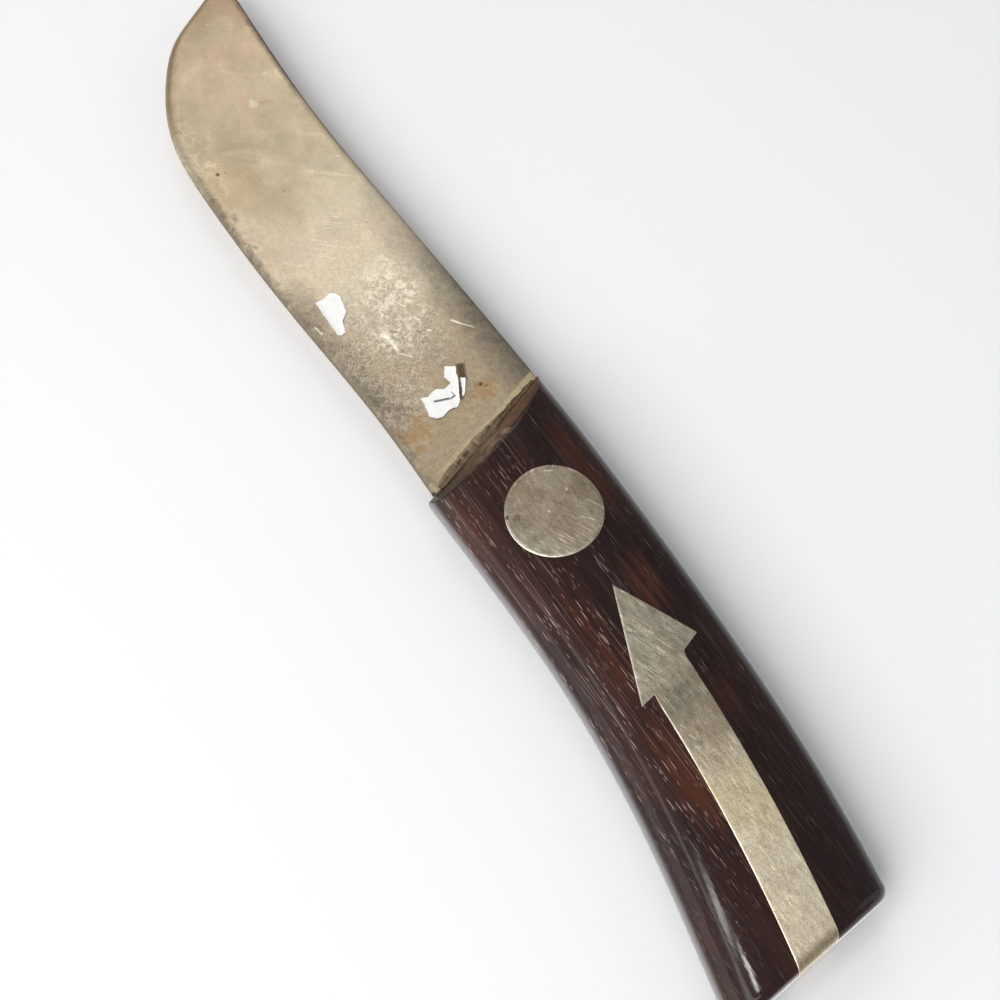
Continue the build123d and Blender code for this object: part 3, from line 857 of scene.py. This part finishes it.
def inlay_silver():
    m = Shader("inlay_silver")
    medium = m.noise(m.place, 0.3, 4, 0.55, 0.5)
    fine = m.noise(m.place, 4.0, 4, 0.65)
    coarse = m.noise(m.turned(5, (0.45, 1.3, 1.3)), 1, 4, 0.65, 0.3)
    color = m.mix(m.band(medium, 0.38, 0.62), (0.34, 0.265, 0.18), (0.42, 0.345, 0.25))
    green = m.band(m.noise(m.turned(0, (1, 1, 1), (3, 9, 0)), 0.24, 3, 0.6, 0.4), 0.50, 0.62)
    green = m.most(green, m.most(m.blob(-57, -1, 4, 0.3, 0.4), m.blob(-46, 0.5, 3.5, 0.3, 0.4)))
    color = m.tint(color, green, 0.4, (0.34, 0.335, 0.26))
    # The shaft is painted paler towards the butt, a painted reflection, and darker over its rounded end,
    # painted shade, with a thin painted highlight at the end's edge.
    color = m.tint(color, m.band(m.x, -56, -80), 0.92, (0.97, 0.83, 0.60))
    gold = m.times(m.blob(-76, -2, 8, 0.3, 0.3), 0.5)
    color = m.mix(gold, color, (0.80, 0.67, 0.37))
    worn = m.times(m.band(medium, 0.52, 0.62), m.band(m.x, -80, -88))
    color = m.tint(color, worn, 0.3, (0.60, 0.52, 0.41))
    past = m.dot(m.vector("SUBTRACT", m.place, (*BUTT[:2], 0)), (*BUTT_AXIS[:2], 0))
    # Painted shade over the shaft's rounded end.
    color = m.tint(color, m.band(past, -2.6, -0.9), 0.75, (0.25, 0.19, 0.11))
    # Painted highlight along the end's edge.
    color = m.tint(color, m.band(past, -0.28, -0.08), 0.9, (0.90, 0.80, 0.60))
    # Fine drawn lines, at a different slant on the head, the shaft and the disc.
    head = m.times(m.band(m.x, -56, -52), m.band(m.x, -30, -34))
    # The head is painted a little lighter, a painted sheen.
    color = m.tint(color, head, 0.3, (0.62, 0.57, 0.45))
    lines = m.times(m.scratches(21, 4.5, 0.13, 0.75), head)
    shaft = m.times(m.scratches(5, 5.0, 0.12, 0.6, 3.0), m.band(m.x, -50, -56))
    disc = m.times(m.scratches(28, 5.0, 0.12, 0.8, 6.0), m.band(m.x, -32, -28))
    disc = m.times(disc, m.times_add(m.band(m.x, -19, -24), 0.8, 0.2))
    marks = m.times(m.most(lines, m.most(shaft, disc)), 0.9)
    for stroke in INLAY_MARKS:
        marks = m.most(marks, m.stroke(*stroke))
    # Painted highlights on the rims where the rounded edges catch the light: the disc's lower side, a few
    # spots on its upper rim, and the belly side of the arrow.
    from_disc = m.vector("SUBTRACT", m.vector("MULTIPLY", m.place, (1, 1, 0)), (*disc_centre, 0))
    near_rim = m.band(m.vector("LENGTH", from_disc), disc_radius - 0.75, disc_radius - 0.1)
    lit_side = m.band(m.dot(from_disc, (-0.6, 0.8, 0)), 1.0, 7.0)
    top_spots = m.band(m.noise(m.place, 0.7, 2, 0.5), 0.56, 0.62)
    upper_rim = m.band(m.dot(from_disc, (1, -0.3, 0)), 5, 7)
    lit_side = m.most(lit_side, m.times(top_spots, upper_rim))
    # The disc's lower left side is painted a little lighter, painted light.
    color = m.tint(color, m.times(lit_side, m.band(m.x, -32, -29)), 0.1, (0.56, 0.56, 0.46))
    rim_highlights = m.times(m.times(near_rim, lit_side), m.band(m.x, -32, -29))
    for stroke in LIT_EDGES:
        rim_highlights = m.most(rim_highlights, m.stroke(*stroke))
    color = m.tint(color, rim_highlights, 0.6, (0.90, 0.80, 0.70))
    color = m.tint(color, marks, 0.75, (0.86, 0.79, 0.63))
    nick = m.most(m.blob(-16.6, 6.0, 0.5, 0.3, 1.5), m.times(m.blob(-17.5, 4.6, 1.0, 0.5, 1.3), 0.6))
    nick = m.most(nick, m.times(m.stroke(-16.8, 6.2, -18.0, 4.8, 0.2), 0.5))
    color = m.tint(color, nick, 0.9, (0.10, 0.095, 0.085))
    speck = m.band(m.noise(m.place, 2.2, 4, 0.72), 0.65, 0.72)
    color = m.tint(color, speck, 0.45, (0.18, 0.14, 0.10))
    color = mottled(m, color, fine, coarse, 1.45)
    m.set(Base_Color=color, Metallic=0.82, Roughness=m.times_add(medium, 0.2, 0.30))
    height = m.times_add(fine, 0.012, m.times(medium, 0.05))
    m.set(Normal=m.bump(m.times_add(marks, 0.012, height)))
    return m.mat


# ------------------------------ rosewood
def polished_rosewood():
    m = Shader("polished_rosewood")
    slope = 3.0
    figure = m.noise(m.turned(slope, (0.016, 0.10, 0.10), (0.4, 0.1, 0)), 1, 3, 0.55, 0.3)
    streak = m.noise(m.turned(slope, (0.02, 1.1, 1.1), (5, 2, 0)), 1, 4, 0.6, 0.2)
    fine = m.noise(m.turned(slope, (0.10, 5.5, 5.5), (1, 8, 0)), 1, 3, 0.6)
    belly = m.band(m.y, -9, 5)
    dark = m.mix(belly, (0.0105, 0.0024, 0.0016), (0.0165, 0.0046, 0.0034))
    red = m.mix(belly, (0.022, 0.0060, 0.0030), (0.034, 0.0100, 0.0060))
    color = m.mix(m.band(figure, 0.42, 0.66), dark, red)
    for x, y, radius, strength in WOOD_GLOWS:
        away = m.vector("DISTANCE", m.vector("MULTIPLY", m.place, (0.4, 1, 0)), (x * 0.4, y, 0))
        glow = m.band(m.times_add(m.minus(streak, 0.5), 6.0, away), radius, 0)
        color = m.mix(m.times(glow, strength), color, (0.082, 0.0215, 0.0075))
    color = m.tint(color, m.band(streak, 0.50, 0.64), 0.6, (0.0075, 0.0035, 0.0035))
    color = m.tint(color, m.band(fine, 0.46, 0.70), 0.5, (0.050, 0.023, 0.020))
    # Open pores: fine dashes along the grain, painted lighter as glints where they catch the light, mostly
    # on the belly side and fewer towards the butt.
    long_pore = m.band(m.cells(m.turned(slope, (0.13, 2.2, 1.2))), 0.20, 0.10)
    short_pore = m.band(m.cells(m.turned(slope, (0.34, 3.6, 1.9), (3, 5, 7))), 0.22, 0.10)
    some = m.band(m.noise(m.turned(slope, (0.06, 0.4, 0.4), (2, 2, 2)), 1, 3, 0.6), 0.42, 0.60)
    pores_and_glints = m.times(m.most(long_pore, m.times(short_pore, 0.8)), some)
    threads = m.band(m.noise(m.turned(slope, (0.05, 3.6, 2.4), (6, 1, 3)), 1, 2, 0.5), 0.60, 0.70)
    pores_and_glints = m.most(pores_and_glints, m.times(threads, 0.3))
    glint_side = m.times_add(m.times(belly, m.band(m.x, -95, -60)), 0.75, 0.2)
    pores_and_glints = m.times(pores_and_glints, glint_side)
    # Painted glints in the pores.
    color = m.tint(color, pores_and_glints, 0.9, (0.44, 0.31, 0.27))
    # The front bevel: olive brown at the belly, a painted reflection of the blade, red brown at the spine,
    # with painted highlights in its middle and at its rim.
    behind = m.times(m.dot(m.place, (*mouth_out, 0)), -1)
    above = m.minus(m.times_add(behind, bevel_tan, BLADE_HALF), m.math("ABSOLUTE", m.z))
    facet = m.times(m.band(above, 0.35, 0.05), m.band(behind, 0.0, 0.2))
    warm = m.mix(m.band(m.y, 9, 1), (0.020, 0.012, 0.007), (0.19, 0.112, 0.064))
    warm = m.mix(m.band(m.y, 0, -5), warm, (0.10, 0.024, 0.009))
    cloudy = m.noise(m.place, 0.6, 3, 0.6)
    warm = m.tint(warm, m.band(cloudy, 0.42, 0.60), 0.75, (0.020, 0.009, 0.006))
    # Painted highlight in the middle of the bevel.
    warm = m.tint(warm, m.blob(-2.2, 0.8, 1.6, 0.4, 0.6), 0.6, (0.15, 0.10, 0.07))
    color = m.tint(color, facet, 0.85, warm)
    # Painted highlight at the bevel's rim.
    rim = m.times(m.blob(-2.7, -2.3, 0.9, 0.3, 1.0), m.band(above, -0.5, 0.0))
    color = m.tint(color, rim, 0.5, (0.45, 0.27, 0.2))
    # Painted shade in the corner at the belly side of the mouth.
    color = m.tint(color, m.blob(-5.3, 13.2, 1.1, 0.2, 1.0), 0.9, (0.004, 0.003, 0.003))
    m.set(Base_Color=color, Roughness=0.5, Specular_IOR_Level=0.1, Coat_Weight=1.0, Coat_Roughness=0.06)
    # The polish is glossier where it turns away along the belly side.
    facing = m.add("LayerWeight", {"Blend": 0.5}).outputs["Facing"]
    gloss = m.times(m.band(facing, 0.30, 0.75), m.band(m.y, -2, 6))
    gloss = m.times(gloss, m.times_add(facet, -1.0, 1.0))
    m.set(Coat_IOR=m.times_add(gloss, 2.9, 1.32))
    rim_glow = m.times(m.band(facing, 0.42, 0.9), m.times_add(facet, -1.0, 1.0))
    m.set(Sheen_Weight=rim_glow, Sheen_Roughness=0.25, Sheen_Tint=(0.95, 0.93, 0.95))
    ripple = m.noise(m.turned(slope, (0.25, 1.3, 1.3), (4, 4, 4)), 1, 3, 0.6)
    height = m.times_add(fine, 0.004, m.times(ripple, 0.010))
    height = m.times_add(pores_and_glints, -0.016, height)
    normal = m.bump(height)
    m.set(Normal=normal, Coat_Normal=normal)
    return m.mat


def aged_cement():
    m = Shader("aged_cement")
    medium = m.noise(m.place, 0.9, 4, 0.65, 0.5)
    fine = m.noise(m.place, 4.0, 4, 0.65)
    color = m.mix(m.band(medium, 0.36, 0.62), (0.17, 0.115, 0.060), (0.28, 0.20, 0.11))
    color = m.tint(color, m.band(fine, 0.54, 0.70), 0.4, (0.36, 0.30, 0.19))
    # Painted shade: darkest low down in the chips and against the wood.
    low = m.band(m.math("ABSOLUTE", m.z), BLADE_HALF + 0.16, BLADE_HALF + 0.03)
    ahead = m.dot(m.place, (*mouth_out, 0))
    inner = m.times(low, m.band(ahead, 1.1, 0.6))
    color = m.tint(color, inner, 0.85, (0.030, 0.018, 0.010))
    shade_by_wood = m.times(m.band(ahead, 0.8, 0.3), 0.6)
    color = m.mix(shade_by_wood, color, (0.085, 0.058, 0.034))
    m.set(Base_Color=color, Roughness=0.5, Specular_IOR_Level=0.45)
    m.set(Normal=m.bump(m.times_add(fine, 0.05, m.times(medium, 0.12))))
    return m.mat


def torn_paper():
    m = Shader("torn_paper")
    fibre = m.noise(m.place, 4.0, 4, 0.65, 0.6)
    color = m.mix(m.band(fibre, 0.30, 0.7), (0.95, 0.94, 0.90), (0.99, 0.985, 0.96))
    # A tear across the lower scrap, and soiled patches.
    tear = m.most(m.stroke(10.2, 4.6, 9.1, 1.4, 0.3), m.stroke(9.1, 1.7, 9.3, 0.5, 0.24))
    tear = m.most(tear, m.times(m.stroke(9.1, 0.7, 10.3, 0.8, 0.2), 0.6))
    color = m.tint(color, tear, 0.9, (0.07, 0.055, 0.045))
    soiled = m.times(m.band(m.noise(m.place, 0.8, 3, 0.6), 0.52, 0.66), 0.2)
    color = m.mix(soiled, color, (0.78, 0.72, 0.58))
    m.set(Base_Color=color, Roughness=0.8, Specular_IOR_Level=0.25)
    m.set(Normal=m.bump(m.times_add(tear, -0.08, m.times(fibre, 0.05))))
    return m.mat


def turned_brass():
    m = Shader("turned_brass")
    fine = m.noise(m.place, 3.0, 3, 0.6)
    m.set(Base_Color=m.mix(fine, (0.50, 0.35, 0.14), (0.68, 0.52, 0.25)), Metallic=1.0, Roughness=0.35)
    return m.mat


finish = {
    "blade_metal": tarnished_blade(),
    "inlay_metal": inlay_silver(),
    "rosewood": polished_rosewood(),
    "cement": aged_cement(),
    "label_paper": torn_paper(),
    "pin_brass": turned_brass(),
}
slot_of = {s["node"]: s["material_slot"] for s in frame["record"]["subparts"]}
for name, obj in frame["nodes"].items():
    obj.data.materials.clear()
    obj.data.materials.append(finish[slot_of[name]])
for obj in pieces.values():
    obj.data.materials.append(finish[obj["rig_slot"]])

# ------------------------------ floor, light and camera
FLOOR_REACH = 3.0
floor_mesh = bpy.data.meshes.new("floor")
corners = [(-FLOOR_REACH, -FLOOR_REACH, 0), (FLOOR_REACH, -FLOOR_REACH, 0), (FLOOR_REACH, FLOOR_REACH, 0),
           (-FLOOR_REACH, FLOOR_REACH, 0)]
floor_mesh.from_pydata(corners, [], [(0, 1, 2, 3)])
floor = bpy.data.objects.new("floor", floor_mesh)
scene.collection.objects.link(floor)
matt = Shader("matt_floor")
matt.set(Base_Color=(0.94, 0.94, 0.94), Roughness=0.95, Specular_IOR_Level=0.1)
floor.data.materials.append(matt.mat)

# The view's up direction, seen from above, makes this angle with the knife's +X.
PICTURE_TURN = math.radians(121.25 - 90)
TILT = math.radians(23.4)
DISTANCE = 0.3115
LENS = 66.6
AIM = Vector((MOUTH[0] - 11.0, MOUTH[1] + 3.93, MOUTH[2])) * MM
picture_up = Vector((math.cos(PICTURE_TURN), -math.sin(PICTURE_TURN), 0))
picture_right = Vector((-math.sin(PICTURE_TURN), -math.cos(PICTURE_TURN), 0))

camera_data = bpy.data.cameras.new("camera")
camera_data.sensor_width = 36
camera_data.lens = LENS
camera_data.clip_start = 0.01
camera = bpy.data.objects.new("camera", camera_data)
scene.collection.objects.link(camera)
back = (Vector((0, 0, math.cos(TILT))) - picture_up * math.sin(TILT)).normalized()
up = back.cross(picture_right)
camera.matrix_world = Matrix((picture_right, up, back)).transposed().to_4x4()
camera.location = AIM + back * DISTANCE
scene.camera = camera


def area_light(name, along, right, height, size, power):
    """A soft panel placed from the aim point along the picture's up and right, turned to the aim point."""
    data = bpy.data.lights.new(name, "AREA")
    data.shape = "RECTANGLE"
    data.size, data.size_y = size
    data.energy = power
    obj = bpy.data.objects.new(name, data)
    scene.collection.objects.link(obj)
    obj.location = AIM + picture_up * along + picture_right * right + Vector((0, 0, height))
    obj.rotation_euler = (obj.location - AIM).to_track_quat("Z", "Y").to_euler()
    obj.visible_camera = False


area_light("key", -0.68, -0.46, 0.8, (0.9, 0.9), 9.8)
area_light("far", 0.66, -0.15, 0.8, (0.5, 0.4), 1.1)
area_light("left", -0.1, -0.65, 0.78, (0.6, 0.8), 0.4)
area_light("right", 0.1, 1.05, 0.5, (0.6, 0.9), 1.3)
area_light("low_left", -0.25, -0.9, 0.34, (0.8, 0.6), 2.1)
area_light("near_handle", -0.068, -0.194, 0.35, (0.09, 0.032), 0.024)
area_light("near_streak", -0.080, -0.122, 0.35, (0.014, 0.055), 0.038)
area_light("near_butt", -0.091, -0.087, 0.35, (0.014, 0.016), 0.035)
world = bpy.data.worlds.new("world")
scene.world = world
world.use_nodes = True
sky = world.node_tree.nodes["Background"].inputs
sky["Color"].default_value = (0.95, 0.97, 1.0, 1)
sky["Strength"].default_value = 0.32
scene.view_settings.view_transform = "Standard"
